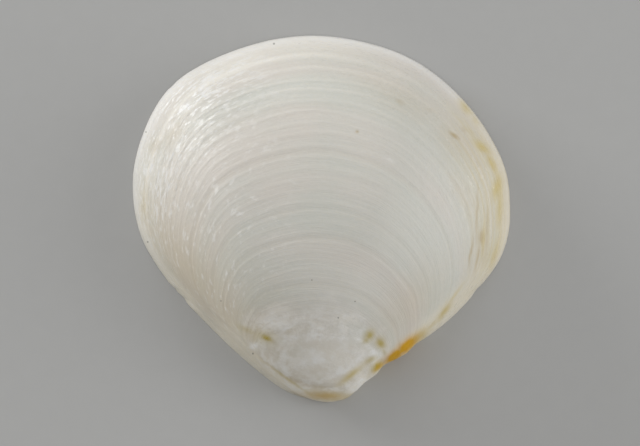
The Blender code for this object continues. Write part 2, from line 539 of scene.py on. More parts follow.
def around_margin(rings):
    """How far round the margin a point is, with more steps by the hinge than elsewhere."""
    hinge_place = 0.965
    crowding = 0.68
    turn = rings.share_around * math.tau
    return rings.share_around + hinge_place - sine(turn) * (crowding / math.tau)


def grown(size, along, away, turn, freedom):
    """A point of the margin as it was before the turn, by the law of growth."""
    wide = exponential((turn * size.along_rate + turn * turn * size.along_bend) * -1.0)
    high = exponential((turn * size.away_rate + turn * turn * size.away_bend) * -1.0)
    flat_along = (along - size.lean * turn * turn * freedom) * wide
    flat_away = away * high * cosine(turn)
    x = size.axis_x + flat_along * cosine(size.axis_slope) - flat_away * sine(size.axis_slope)
    y = size.axis_y + flat_along * sine(size.axis_slope) + flat_away * cosine(size.axis_slope)
    return x, y, away * high * sine(turn)


def axis_place(size, x, y):
    """How far a place lies along the growth axis and away from it."""
    east = x - size.axis_x
    north = y - size.axis_y
    along = east * cosine(size.axis_slope) + north * sine(size.axis_slope)
    away = north * cosine(size.axis_slope) - east * sine(size.axis_slope)
    return along, away


def ridge_number(size, rings):
    """How many main ridges lie between a ring and the margin's smooth band."""
    number = (rings.past_margin - size.band_rings) / size.rings_per_ridge
    return least(most(number, 0.0), size.ridge_count)


def turn_of_ring(tree, size, rings, number):
    """The turn of each ring of the outside: smooth band, uneven ridges, umbo."""
    stray = uneven(tree, number, size.seed, scale=0.8) * size.unevenness * size.spacing * 0.5
    late = (1.0 - exponential(number / -1.1)) * exponential(number / -14.0) * size.early_gap
    ridged = size.first_turn + size.spacing * number - size.tightening * number * number + stray + late
    band = held(rings.past_margin / size.band_rings)
    last = rings.past_margin - size.band_rings - rings.ridge_rings
    umbo = held(last / size.umbo_rings)
    young = size.lip_turn + (ridged - size.lip_turn) * band
    return young + (size.oldest_turn - ridged) * umbo


def hollow_share(size, height, fullness):
    """How far in from the lip the hollow reaches a height, as a share of the way to its top."""
    inner, outer = fullness
    rest = 1.0 - (most(height, 0.0) / size.hollow_height) ** outer
    return 1.0 - most(rest, 0.0) ** (1.0 / inner)


def hollow_height(size, share, fullness):
    """The height of the hollow at a share of the way from the lip to its top."""
    inner, outer = fullness
    rest = 1.0 - most(1.0 - share, 0.0) ** inner
    return size.hollow_height * most(rest, 0.0) ** (1.0 / outer)


def plate_edge_share(size, start, end):
    """Where the way from the lip to the hollow's top crosses the hinge plate's edge."""
    along, away = start
    run = end[0] - along
    climb = end[1] - away
    bend = size.plate_bend / MM
    square = bend * run * run
    slope = bend * along * run * 2.0 - climb
    behind = size.plate_reach + bend * along * along - away
    inside = most(slope * slope - square * behind * 4.0, 0.0)
    return most(behind * 2.0 / (root(inside) - slope), 0.0)


def stage_shares(size, rings):
    """How far through its rings each stage of the inside is: face, edge, back and hollow."""
    passed = rings.past_lip
    shares = []
    for before, here in (
        (size.rim_rings, size.face_rings),
        (size.face_rings, size.edge_rings),
        (size.edge_rings, size.back_rings),
        (size.back_rings, size.hollow_rings),
    ):
        passed = passed - before
        shares.append(held(passed / here))
    return shares


def inside_path(size, rings, lip, pole):
    """How far in and how high each ring of the inside is, past the lip's inner edge.

    By the hinge the rings run over the hinge plate's face, up its edge and along its back.
    Elsewhere there is no plate, and they climb the wall of the hollow instead.
    """
    hinge_side = soft_step(lip[1], 9.0 * MM, 3.0 * MM)
    fullness = (blend(2.15, 1.8, hinge_side), blend(1.13, 2.0, hinge_side))
    edge = plate_edge_share(size, lip, pole)
    beyond = edge - hollow_share(size, size.plate_back, fullness)
    plate = soft_step(beyond, 0.0, 0.035)
    face, up, under, inner = stage_shares(size, rings)

    # The height at the end of each of the first three stages
    after_face = blend(1.4 * MM, size.plate_face, plate)
    after_edge = blend(2.2 * MM, size.plate_back, plate)
    after_back = blend(3.0 * MM, size.plate_back + 0.25 * MM, plate)
    recess = soft_step(face, 0.0, 0.16)
    height = blend(after_face * face, size.plate_face * recess, plate)
    height = height + (after_edge - after_face) * up + (after_back - after_edge) * under
    on_hollow = hollow_share(size, height, fullness)
    retreat = soft_step(under, 0.0, 1.0)
    on_plate = blend(edge * face, hollow_share(size, after_back, fullness), retreat)
    share = blend(on_hollow, on_plate, plate)
    crown = blend(share, 1.0, inner)
    is_crown = soft_step(inner, 0.0, 0.001)
    height = blend(height, hollow_height(size, crown, fullness), is_crown)
    return crown, height, plate * (1.0 - up)


def bar_relief(along, away, bar):
    """1 on the crest of a bar that points away from the beak, and 0 off it."""
    direction, start, end, start_width, end_width = bar
    angle = math.radians(direction)
    out = along * math.cos(angle) + away * math.sin(angle)
    side = size_of(away * math.cos(angle) - along * math.sin(angle))
    share = held((out - start * MM) / ((end - start) * MM))
    width = blend(start_width * MM, end_width * MM, share)
    across = soft_step(side / width, 1.45, 0.3)
    from_start = soft_step(out, (start - 0.2) * MM, (start + 0.25) * MM)
    to_end = soft_step(out, (end + 0.12) * MM, (end - 0.3) * MM)
    return across * from_start * to_end


def hinge_relief(size, along, away):
    """The teeth and the ledge, less the sockets between them."""
    teeth = highest_of([bar_relief(along, away, bar) for bar in BARS])
    sockets = highest_of([bar_relief(along, away, socket) for socket in SOCKETS])
    return teeth * size.tooth_height - sockets * (1.0 - teeth) * size.socket_depth


def ridge_relief(tree, size, number, loop, turn, freedom, cap):
    """The height of the ridges, from the crest of each and its finer neighbours."""
    wander = along_rings(tree, number * 0.4 + size.seed, loop, 13.0) * size.wander
    phase = (number + wander) * math.tau
    main = cosine(phase + sine(phase) * 0.55) * 0.5 + 0.5
    fine_wander = along_rings(tree, number * 1.1 + 50.0, loop, 26.0) * 1.6
    fine = sine(phase * 2.0 + 0.9 + fine_wander) * size.fine_share * 0.5
    strength = 0.8 + along_rings(tree, number * 0.9 + 90.0, loop, 8.0) * 0.7
    strength = strength + along_rings(tree, number * 1.7 + 120.0, loop, 45.0) * 0.4
    starts = soft_step(turn, math.radians(4.2), math.radians(5.3))
    smoother_front = 1.0 - soft_step(loop[1], -0.3, 0.9) * 0.5
    shown = starts * (1.0 - cap) * freedom ** 0.7 * smoother_front
    return (main * strength + fine * (1.2 + fine_wander * 0.3)) * shown


def ridge_scale(size, number, turn):
    """How high the ridges of an age are: they grew with the valve and with their own spacing."""
    valve = exponential((turn * size.away_rate + turn * turn * size.away_bend) * -1.0)
    spacing = 1.0 - size.tightening * number * 2.0 / size.spacing
    return (valve * spacing) ** 4.0


def check_relief(turn, wander, freedom):
    """How deep the growth checks are at a turn."""
    grooves = [
        bell(turn + wander, math.radians(check_turn), math.radians(half_width)) * (depth * MM)
        for check_turn, depth, half_width in GROWTH_CHECKS
    ]
    return sum_of(grooves) * freedom ** 0.7


def chip_depth(around):
    """How much of the margin is missing: a little everywhere, and more at the chips."""
    missing = [uneven(around.tree, around * 60.0, 1.7) * (0.02 * MM)]
    for place, half_width, depth in CHIPS:
        missing.append(bell(around, place, half_width) * (depth * MM))
    return sum_of(missing)


def scar_relief(x, y):
    """1 inside the two muscle scars, and 0 elsewhere."""
    scars = []
    for middle_x, middle_y, half_wide, half_high, tilt in MUSCLE_SCARS:
        out = from_oval_middle(x, y, (middle_x, middle_y), (half_wide, half_high), tilt)
        scars.append(soft_step(out, 1.15, 0.8))
    return sum_of(scars)


def lunule_relief(x, y):
    """The lunule's depth as a share of the deepest place, less than 0 where it swells."""
    forms = []
    for middle_x, middle_y, half_width, share in LUNULE_FORMS:
        out = from_oval_middle(x, y, (middle_x, middle_y), (half_width, half_width))
        forms.append(exponential(out * -1.0) * share)
    return sum_of(forms)


def store(tree, geometry, name, value):
    """Keeps an amount on the points of the mesh, for the materials."""
    node = new_node(tree, "GeometryNodeStoreNamedAttribute", data_type="FLOAT", domain="POINT")
    tree.links.new(geometry, node.inputs["Geometry"])
    node.inputs["Name"].default_value = name
    feed(tree, node.inputs["Value"], value)
    return node.outputs[0]


def stored(tree, name):
    """An amount that was kept on the points of the mesh."""
    node = new_node(tree, "GeometryNodeInputNamedAttribute", data_type="FLOAT")
    node.inputs["Name"].default_value = name
    return Amount(tree, node.outputs["Attribute"])


def valve_tree(growth, ridges, inside):
    """The node tree that grows the valve from its margin."""
    groups = (growth, ridges, inside)
    tree = bpy.data.node_groups.new("grow_valve", "GeometryNodeTree")
    tree.is_modifier = True
    tree.interface.new_socket("Geometry", in_out="INPUT", socket_type="NodeSocketGeometry")
    tree.interface.new_socket("Geometry", in_out="OUTPUT", socket_type="NodeSocketGeometry")
    for name, about in (
        ("Margin", "The curve of the margin"),
        ("Back Edge", "The outer edge of the band behind the hinge"),
    ):
        socket = tree.interface.new_socket(name, in_out="INPUT", socket_type="NodeSocketObject")
        socket.description = about
    for name, about in (
        ("Outside Material", "The ridged outside"),
        ("Inside Material", "The smooth inside"),
    ):
        socket = tree.interface.new_socket(name, in_out="INPUT", socket_type="NodeSocketMaterial")
        socket.description = about
    add_size_inputs(tree, groups)
    source = new_node(tree, "NodeGroupInput")
    size = Sizes(tree, source, groups)
    rings = Rings(tree, size)

    # A tube with one ring of points for each ring of the valve
    tube = new_node(tree, "GeometryNodeMeshCylinder", fill_type="NONE")
    feed(tree, tube.inputs["Vertices"], size.steps_around)
    feed(tree, tube.inputs["Side Segments"], rings.total)

    # The margin, and where each point is round it
    margin = smooth_curve_in(tree, source.outputs["Margin"], 24)
    around = worked_out(tree, "FRACT", around_margin(rings))
    sample = new_node(tree, "GeometryNodeSampleCurve", mode="FACTOR")
    tree.links.new(margin, sample.inputs["Curves"])
    feed(tree, sample.inputs["Factor"], around)
    margin_x, margin_y, _ = parts_of(tree, sample.outputs["Position"])
    ahead_x, ahead_y, _ = parts_of(tree, sample.outputs["Tangent"])
    along, away = axis_place(size, margin_x, margin_y)
    spread = held(away / size.reach)
    freedom = spread * (2.0 - spread)

    # The outside, ring by ring back in age
    number = ridge_number(size, rings)
    turn = turn_of_ring(tree, size, rings, number)
    out_x, out_y, out_z = grown(size, along, away, turn, freedom)
    lip_x, lip_y, lip_z = grown(size, along, away, size.lip_turn, freedom)

    # The lip, and the inside from the lip's inner edge to the top of the hollow
    over_lip = held(rings.past_lip / size.rim_rings)
    lip_inset = size.rim_width * over_lip
    lip_round = (1.0 - over_lip) ** 4.0
    rim_x = lip_x - ahead_y * lip_inset
    rim_y = lip_y + ahead_x * lip_inset
    inner_lip = axis_place(size, rim_x, rim_y)
    pole = axis_place(size, size.pole_x, size.pole_y)
    share, height, on_face = inside_path(size, rings, inner_lip, pole)
    past_rim = soft_step(rings.past_lip, size.rim_rings, size.rim_rings + 0.01)
    in_share = share * past_rim
    in_x = blend(rim_x, size.pole_x, in_share)
    in_y = blend(rim_y, size.pole_y, in_share)
    in_z = blend(lip_z * lip_round, height, past_rim)
    in_along, in_away = axis_place(size, in_x, in_y)
    in_z = in_z - hinge_relief(size, in_along, in_away) * on_face * past_rim

    # Chips and small waves along the margin
    near_margin = soft_step(size_of(rings.past_margin), 26.0, 0.0)
    chip = chip_depth(around) * near_margin * soft_step(away, 0.4 * MM, 2.0 * MM)
    is_outside = rings.is_outside
    x = blend(in_x, out_x, is_outside) - ahead_y * chip
    y = blend(in_y, out_y, is_outside) + ahead_x * chip
    z = blend(in_z, out_z, is_outside)

    geometry = tube.outputs["Mesh"]
    for name, value in (
        ("turn", turn * (180.0 / math.pi)),
        ("around", around),
        ("loop_x", cosine(around * math.tau)),
        ("loop_y", sine(around * math.tau)),
        ("ridge_number", number),
        ("freedom", freedom),
        ("outside", is_outside),
        ("pole", rings.is_pole),
        ("in_from_lip", in_share),
        ("plate", on_face * past_rim),
    ):
        geometry = store(tree, geometry, name, value)
    form = new_node(tree, "GeometryNodeSetPosition")
    tree.links.new(geometry, form.inputs["Geometry"])
    tree.links.new(vector_of(tree, x, y, z), form.inputs["Position"])
    close = new_node(tree, "GeometryNodeMergeByDistance")
    tree.links.new(form.outputs[0], close.inputs["Geometry"])
    feed(tree, close.inputs["Selection"], stored(tree, "pole"))
    close.inputs["Distance"].default_value = 1.0 * MM
    geometry = relief(tree, size, source, close.outputs[0])
    finish_tree(tree, source, geometry)
    return tree


def distance_from(tree, source, x, y):
    """How far a place lies from a guide curve, seen from above."""
    as_mesh = new_node(tree, "GeometryNodeCurveToMesh")
    tree.links.new(smooth_curve_in(tree, source, 12), as_mesh.inputs["Curve"])
    nearest = new_node(tree, "GeometryNodeProximity", target_element="EDGES")
    tree.links.new(as_mesh.outputs[0], nearest.inputs[0])
    tree.links.new(vector_of(tree, x, y, 0.0), nearest.inputs["Sample Position"])
    return Amount(tree, nearest.outputs["Distance"])


def relief(tree, size, source, geometry):
    """Raises the ridges and sinks the grooves, the worn cap and the scars along the normals."""
    turn = stored(tree, "turn") * (math.pi / 180.0)
    loop = (stored(tree, "loop_x"), stored(tree, "loop_y"))
    number = stored(tree, "ridge_number")
    freedom = stored(tree, "freedom")
    is_outside = stored(tree, "outside")
    position = new_node(tree, "GeometryNodeInputPosition").outputs[0]
    x, y, z = parts_of(tree, position)

    ragged = uneven(tree, x, y, z, scale=900.0, detail=3.0) * math.radians(3.4)
    cap = soft_step(turn + ragged, size.worn_turn - math.radians(1.3), size.worn_turn + math.radians(1.3))
    crest = ridge_relief(tree, size, number, loop, turn, freedom, cap)
    wander = along_rings(tree, number * 0.2, loop, 9.0) * math.radians(0.5)
    swell = along_rings(tree, turn * 11.0 + size.seed, loop, 3.0, detail=1.0) * freedom
    checks = check_relief(turn, wander, freedom)
    flaked = uneven(tree, x, y, z, scale=1500.0, detail=3.0, roughness=0.6)
    old_lines = (sine(turn * (360.0 / 2.3) + wander * 40.0) * 0.004 + flaked * 0.022) * cap * MM

    stray = uneven(tree, x, y, z, scale=700.0) * (0.07 * MM)
    from_edge = distance_from(tree, source.outputs["Back Edge"], x, y) + stray
    from_margin = distance_from(tree, source.outputs["Margin"], x, y) + stray
    at_hinge = soft_step(x, 1.3 * MM, 0.2 * MM) * soft_step(x, -7.4 * MM, -5.6 * MM)
    at_hinge = at_hinge * soft_step(y, -11.55 * MM, -11.1 * MM)
    groove = bell(from_edge, size.fold_width, 0.11 * MM) * at_hinge
    fold = soft_step(from_edge, size.fold_width, size.fold_width * 0.55) * at_hinge

    ridge = ridge_scale(size, number, turn) * size.ridge_height + size.old_ridge_height
    raised = crest * ridge + swell * size.swell_height - checks
    raised = raised - cap * size.worn_depth + old_lines
    raised = raised - groove * size.fold_depth + fold * (size.fold_depth * 0.5)
    scars = scar_relief(x, y) * (1.0 - is_outside)
    sunk = scars * size.scar_depth * soft_step(z, 0.6 * MM, 1.2 * MM)
    above_table = soft_step(z, 0.02 * MM, 0.4 * MM)
    offset = (raised * above_table - lunule_relief(x, y) * size.lunule_depth) * is_outside - sunk

    normal = new_node(tree, "GeometryNodeInputNormal").outputs[0]
    push = new_node(tree, "ShaderNodeVectorMath", operation="SCALE")
    tree.links.new(normal, push.inputs[0])
    feed(tree, push.inputs["Scale"], offset)
    edge = soft_step(from_margin, 0.75 * MM, 0.2 * MM)
    for name, value in (
        ("crest", crest),
        ("cap", cap),
        ("fold", fold),
        ("groove", groove),
        ("scar", scars),
        ("edge", edge),
    ):
        geometry = store(tree, geometry, name, value)
    carve = new_node(tree, "GeometryNodeSetPosition")
    tree.links.new(geometry, carve.inputs["Geometry"])
    tree.links.new(push.outputs[0], carve.inputs["Offset"])
    return rested(tree, carve.outputs[0])


def rested(tree, geometry):
    """Keeps every point at or above the table that the margin rests on."""
    position = new_node(tree, "GeometryNodeInputPosition").outputs[0]
    x, y, z = parts_of(tree, position)
    rest = new_node(tree, "GeometryNodeSetPosition")
    tree.links.new(geometry, rest.inputs["Geometry"])
    tree.links.new(vector_of(tree, x, y, most(z, 0.0)), rest.inputs["Position"])
    return rest.outputs[0]


def finish_tree(tree, source, geometry):
    """Ends the tree with real geometry, smooth shading and the two materials."""
    smooth = new_node(tree, "GeometryNodeSetShadeSmooth")
    tree.links.new(geometry, smooth.inputs["Geometry"])
    real = new_node(tree, "GeometryNodeRealizeInstances")
    tree.links.new(smooth.outputs[0], real.inputs["Geometry"])
    outer = new_node(tree, "GeometryNodeSetMaterial")
    tree.links.new(real.outputs[0], outer.inputs["Geometry"])
    tree.links.new(source.outputs["Outside Material"], outer.inputs["Material"])
    inner = new_node(tree, "GeometryNodeSetMaterial")
    tree.links.new(outer.outputs[0], inner.inputs["Geometry"])
    is_inner = worked_out(tree, "LESS_THAN", stored(tree, "outside"), 0.99)
    feed(tree, inner.inputs["Selection"], is_inner)
    tree.links.new(source.outputs["Inside Material"], inner.inputs["Material"])
    sink = new_node(tree, "NodeGroupOutput")
    tree.links.new(inner.outputs[0], sink.inputs[0])


def colour_mix(tree, share, start, end):
    """A colour that lies a share of the way from one colour to another."""
    node = new_node(tree, "ShaderNodeMix", data_type="RGBA", clamp_factor=True)
    feed(tree, node.inputs["Factor"], share)
    for socket, colour in ((node.inputs["A"], start), (node.inputs["B"], end)):
        if isinstance(colour, bpy.types.NodeSocket):
            tree.links.new(colour, socket)
        else:
            socket.default_value = (*colour, 1.0)
    return node.outputs["Result"]


def kept(tree, name):
    """An amount that the mesh keeps, read by a material."""
    node = new_node(tree, "ShaderNodeAttribute", attribute_name=name)
    return Amount(tree, node.outputs["Fac"])


def new_material(name):
    """A material with its node tree, its shader and where on the piece it is."""
    material = bpy.data.materials.new(name)
    material.use_nodes = True
    tree = material.node_tree
    surface = tree.nodes["Principled BSDF"]
    place = new_node(tree, "ShaderNodeTexCoord").outputs["Object"]
    return material, tree, surface, parts_of(tree, place)


# How much of the light goes into the shell, how far it reaches there, and the share of that
# reach that red, green and blue light have
LIGHT_LET_IN = 0.22
LIGHT_REACH = 0.7 * MM
LIGHT_REACH_BY_COLOUR = (1.0, 0.92, 0.78)

# How far the ragged outlines of stains and flakes stray
STAIN_STRAY = 0.09 * MM

# Marks on the outside, seen from above. Each has the place of its middle, its half length and
# half width in millimetres, the direction of its length in degrees, and its strength.
# First the coloured stains
ORANGE_STAINS = [
    (5.35, -8.0, 0.85, 0.34, 40, 1.5),
    (4.6, -8.6, 0.8, 0.3, 38, 1.5),
    (3.7, -9.2, 0.5, 0.16, 42, 0.6),
    (0.1, -11.2, 1.1, 0.24, -4, 0.4),
]
STRAW_STAINS = [
    (6.1, -7.45, 0.8, 0.3, 42, 0.9),
    (6.9, -6.75, 0.8, 0.13, 40, 0.5),
    (7.7, -5.85, 0.7, 0.18, 55, 0.95),
    (8.3, -4.9, 0.9, 0.1, 54, 0.5),
    (9.1, 7.0, 0.6, 0.28, -52, 0.75),
    (9.7, 6.2, 0.4, 0.2, -55, 0.45),
    (10.1, 4.5, 0.55, 0.22, -42, 0.9),
    (10.7, 3.5, 0.5, 0.2, -60, 0.6),
    (11.05, 1.9, 0.7, 0.28, 80, 0.9),
    (11.2, 0.5, 0.9, 0.2, 88, 0.6),
    (10.9, -2.3, 0.9, 0.22, 74, 0.6),
    (10.2, -1.3, 1.2, 0.12, 86, 0.45),
    (0.5, -11.2, 1.5, 0.3, -2, 0.5),
    (1.85, -9.8, 0.9, 0.2, 38, 0.9),
    (-11.2, 0.9, 1.3, 0.25, 88, 0.25),
]
TAN_STAINS = [
    (10.05, -1.2, 0.4, 0.2, 86, 0.7),
    (9.75, 0.3, 1.6, 0.07, 88, 0.4),
    (9.35, -2.2, 0.8, 0.08, 82, 0.6),
    (9.8, -2.4, 0.8, 0.08, 80, 0.5),
    (10.4, -0.6, 1.3, 0.07, 88, 0.4),
    (4.9, 7.3, 0.45, 0.22, -30, 0.36),
    (6.8, 6.8, 0.5, 0.2, -20, 0.25),
    (8.3, 5.2, 0.42, 0.16, -38, 0.75),
    (8.9, 5.6, 0.3, 0.16, -38, 0.3),
    (5.4, 7.3, 3.4, 1.0, -28, 0.17),
    (8.2, 5.0, 1.9, 0.9, -45, 0.18),
    (2.2, 5.4, 0.1, 0.09, 0, 0.6),
    (-9.3, 5.4, 1.1, 0.45, 60, 0.25),
    (-10.4, 4.6, 0.7, 0.4, 60, 0.28),
    (0.3, -11.1, 1.1, 0.24, -4, 0.6),
]
OLIVE_STAINS = [
    (2.98, -7.3, 0.34, 0.26, 60, 0.85),
    (2.8, -7.6, 0.26, 0.2, 30, 0.6),
    (3.72, -7.8, 0.36, 0.28, -60, 0.9),
    (3.9, -8.3, 0.3, 0.14, -60, 0.4),
    (3.05, -8.85, 0.4, 0.18, 26, 0.6),
    (3.5, -9.3, 0.42, 0.26, 40, 1.1),
    (-2.2, -9.98, 1.5, 0.08, -36, 0.5),
    (-3.45, -7.48, 0.42, 0.22, -22, 1.0),
    (-3.6, -7.4, 0.8, 0.42, -16, 0.4),
    (-4.6, -7.0, 0.7, 0.2, -24, 0.35),
]

# Broad places where the shell is milkier, duskier or paler than elsewhere. The lighter places on the
# middle of the right side and along the top and back margins are partly painted light, where the lamps
# fall; the dusky places, on the steep lower side facing away from the lamps, are partly painted shade
MILKY_AND_LIT_PLACES = [
    (3.6, 1.0, 4.2, 5.4, 0, 0.3),
    (1.1, -3.7, 3.0, 2.8, 0, 0.42),
    (0.3, -8.9, 3.4, 1.9, 0, 0.8),
    (-1.0, 11.1, 6.5, 1.0, 0, 0.45),
    (-5.8, 9.6, 3.4, 0.9, 26, 0.5),
    (-9.6, 3.6, 1.6, 4.2, -20, 0.3),
    (-10.9, 2.2, 0.8, 2.8, -6, 0.5),
    (6.6, -7.2, 1.4, 0.6, 45, 0.6),
]
# Dusky places lie on the steep lower side and are partly painted shade
DUSKY_AND_SHADED_PLACES = [
    (-8.2, -3.5, 3.0, 1.1, -50, 0.4),
    (-6.0, -5.9, 1.8, 0.9, -45, 0.25),
    (-1.7, -7.0, 0.8, 0.25, 0, 0.3),
    (5.5, -5.5, 2.8, 1.4, 48, 0.32),
    (3.4, -7.6, 0.9, 0.7, 0, 0.25),
    (-2.4, -9.0, 0.8, 0.5, -30, 0.35),
]
PALE_PLACES = [
    (7.7, -6.05, 3.4, 0.55, 46, 0.9),
    (2.4, -10.5, 1.2, 0.3, 44, 0.7),
    (-5.2, -7.6, 2.4, 0.6, -42, 0.5),
    (-8.7, -4.9, 1.8, 0.5, -45, 0.55),
]

# Bright flakes and streaks, most of them on the worn cap
FLAKES = [
    (-4.21, -7.98, 0.26, 0.2, 20, 1.1),
    (-0.12, -6.89, 0.34, 0.11, 8, 0.9),
    (-2.05, -6.79, 0.36, 0.07, 20, 0.6),
    (-1.55, -7.4, 0.7, 0.18, 14, 0.45),
    (-0.4, -7.35, 0.7, 0.25, 0, 0.55),
    (1.2, -7.45, 0.9, 0.2, -4, 0.5),
    (2.35, -7.6, 0.5, 0.17, -20, 0.6),
    (2.94, -7.99, 0.4, 0.15, -42, 0.75),
    (3.23, -8.3, 0.28, 0.2, -40, 1.1),
    (-0.06, -8.87, 0.5, 0.25, 10, 0.7),
    (-1.04, -9.0, 0.4, 0.3, 80, 0.4),
    (0.66, -8.6, 0.34, 0.18, 70, 0.5),
    (2.3, -8.81, 0.24, 0.17, 60, 0.7),
    (1.1, -9.7, 1.15, 0.15, 24, 0.65),
    (2.62, -9.98, 0.5, 0.12, 50, 0.55),
    (1.49, -6.04, 0.16, 0.06, 30, 0.5),
    (4.2, 3.7, 0.3, 0.12, -30, 0.5),
    (-5.45, 9.38, 0.5, 0.07, 30, 0.9),
    (-3.5, 9.9, 0.5, 0.06, 14, 0.5),
    (-7.5, 8.25, 0.45, 0.14, 40, 1.1),
    (-8.6, 6.9, 0.5, 0.16, 52, 1.0),
    (-9.3, 5.9, 0.35, 0.12, 58, 0.9),
    (-10.1, 5.0, 0.3, 0.1, 60, 0.8),
    (-7.2, 4.0, 0.5, 0.05, 52, 0.7),
    (-11.1, 3.0, 0.3, 0.12, 70, 0.7),
]

# Dark pin dots: the place and the radius of each, in millimetres
PIN_DOTS = [
    (-6.28, -5.15, 0.045),
    (-4.3, -8.47, 0.06),
    (-10.96, -1.48, 0.055),
    (1.04, -6.17, 0.05),
    (2.08, -5.16, 0.045),
    (-0.6, -3.82, 0.04),
    (-11.08, 5.46, 0.05),
    (-3.0, 11.02, 0.07),
]


def stains(x, y, places):
    """How strong a set of marks is at a point, where the strongest of them shows."""
    marks = []
    for middle_x, middle_y, half_length, half_width, direction, strength in places:
        out = from_oval_middle(x, y, (middle_x, middle_y), (half_length, half_width), direction)
        marks.append(exponential(out * -0.9) * strength)
    return highest_of(marks)


def finish_surface(tree, surface, colour, roughness, height, relief_depth):
    """Gives the shader its colour, gloss and finest relief, and lets some light into the shell."""
    tree.links.new(colour, surface.inputs["Base Color"])
    feed(tree, surface.inputs["Roughness"], roughness)
    surface.inputs["Subsurface Weight"].default_value = LIGHT_LET_IN
    surface.inputs["Subsurface Radius"].default_value = LIGHT_REACH_BY_COLOUR
    surface.inputs["Subsurface Scale"].default_value = LIGHT_REACH
    bump = new_node(tree, "ShaderNodeBump")
    bump.inputs["Strength"].default_value = 1.0
    bump.inputs["Distance"].default_value = relief_depth
    feed(tree, bump.inputs["Height"], height)
    tree.links.new(bump.outputs[0], surface.inputs["Normal"])


class OutsidePlace:
    """What the finish of the outside is worked out from at each point."""

    def __init__(self, tree, position):
        self.tree = tree
        self.x, self.y, self.z = position
        self.turn = kept(tree, "turn")
        self.loop = (kept(tree, "loop_x"), kept(tree, "loop_y"))
        self.crest = kept(tree, "crest")
        self.cap = kept(tree, "cap")
        self.fold = kept(tree, "fold")
        self.groove = kept(tree, "groove")
        self.edge = kept(tree, "edge")

        # Streaks that follow the growth lines, coarse and fine, and noise that follows nothing
        self.streak = self.along(1.1, 0.0, 9.0, detail=3.0)
        self.fine_streak = self.along(5.5, 40.0, 26.0)
        self.cloud = self.noise(260.0, detail=3.0)
        self.speckle = self.noise(2600.0, detail=3.0, roughness=0.6)
        self.grain = self.noise(5600.0, detail=1.0)

        # A place that strays a little from this one, for outlines that look ragged
        self.stray_x = self.x + self.noise(1500.0) * STAIN_STRAY
        self.stray_y = self.y + self.noise(1500.0, lift=0.01) * STAIN_STRAY

        # The back end, its part near the margin where the glints and flecks are, and the glints and
        # flecks, partly white marks and partly painted highlights
        self.at_back = soft_step(self.loop[1], 0.1, -0.6)
        above_hinge = soft_step(self.y, -3.0 * MM, 2.0 * MM)
        self.glint_and_fleck_part = self.at_back * soft_step(self.turn, 18.0, 8.0) * (0.35 + above_hinge * 0.65)
        glints_and_flecks = self.along(2.6, 23.0, 120.0, detail=3.0) + self.streak * 0.4
        self.glints_and_flecks = soft_step(glints_and_flecks, 0.03, 0.33) * soft_step(self.turn, 0.8, 2.4)

        # The worn cap of the umbo, and the flakes on it
        self.near_cap = soft_step(self.turn + self.cloud * 6.0, 40.0, 47.0)
        flakes = self.along(0.24, 8.0, 12.0, detail=4.0) + self.speckle * 0.35 + self.grain * 0.2
        self.flakes = soft_step(flakes + self.cloud * 0.3, -0.1, 0.45)

    def along(self, pace, start, laps, detail=2.0):
        """Noise along the growth lines, by its pace across them and its bumps in one round."""
        return along_rings(self.tree, self.turn * pace + start, self.loop, laps, detail=detail)

    def noise(self, scale, lift=0.0, detail=2.0, roughness=0.5):
        """Noise that follows no line; another lift gives another noise of the same kind."""
        return uneven(self.tree, self.x, self.y, self.z + lift, scale, detail, roughness)


def grey_and_chalk(place, colours):
    """Warm and cool greyish glaze, with more chalk in it towards the margin and on the crests, partly
    painted light: lighter crests, lit places, a glint on the first growth line and a duller ground under
    the glints.
    """
    turn, streak, cloud = place.turn, place.streak, place.cloud
    hue = soft_step(place.along(0.16, 3.0, 3.0) + cloud * 0.4, -0.45, 0.45)
    glaze = colour_mix(place.tree, hue, colours.glaze, colours.warm_glaze)
    young = soft_step(turn, 24.0, 2.0)
    # Crests lighter than the grooves: partly chalk, partly painted light on the crests and shade in the
    # grooves
    ridge_tone_and_shading = place.crest * (0.1 + young * 0.26 - place.at_back * 0.05)
    # A whiter growth line at five degrees on the top and back, partly a painted highlight where the lamps
    # fall
    first_line_glint = bell(turn + streak * 0.3, 5.0, 0.4) * soft_step(place.loop[1], 0.5, -0.3)
    chalk = 0.2 + young * 0.18 + ridge_tone_and_shading + streak * 0.14 + place.fine_streak * 0.1 + cloud * 0.1
    chalk = chalk + stains(place.x, place.y, MILKY_AND_LIT_PLACES) + first_line_glint * 0.35
    # Less chalk where the glints and flecks are: a darker ground under the painted highlights
    chalk = chalk + place.speckle * 0.08 + place.grain * 0.08 - place.glint_and_fleck_part * 0.16
    return colour_mix(place.tree, chalk, glaze, colours.chalk)


def dusky_marks_and_shade(place, colours):
    """Dusky places, partly painted shade on the steep lower side, and the darker and warmer grooves where
    growth stopped.
    """
    wandering = place.turn + place.streak * 0.3
    grooves = [
        bell(wandering, check_turn, half_width) * (depth * 3.0)
        for check_turn, depth, half_width in GROWTH_CHECKS
    ]
    return [
        (stains(place.x, place.y, DUSKY_AND_SHADED_PLACES), colours.cream),
        (sum_of(grooves) * (0.7 + place.streak * 0.5), colours.tan),
    ]


def front_bands(place, colours):
    """Straw-coloured growth bands along the front end, and a patchy line beside the margin."""
    front = soft_step(place.x, 6.6 * MM, 10.4 * MM) * soft_step(place.y, 9.5 * MM, 4.5 * MM)
    front = front * soft_step(place.turn, 20.0, 9.0)
    bands = soft_step(place.along(1.5, 8.0, 9.0, detail=3.0), -0.2, 0.4)
    hairs = soft_step(place.along(3.4, 17.0, 16.0), 0.0, 0.5)
    patches = soft_step(place.along(0.5, 4.0, 34.0, detail=3.0), -0.1, 0.5)
    line = bell(place.turn + place.streak * 0.8, 3.9, 1.2) * front
    return [
        (front * (0.18 + bands * 0.22 + hairs * 0.22), colours.straw),
        (line * (0.12 + patches * 0.5), colours.straw),
    ]


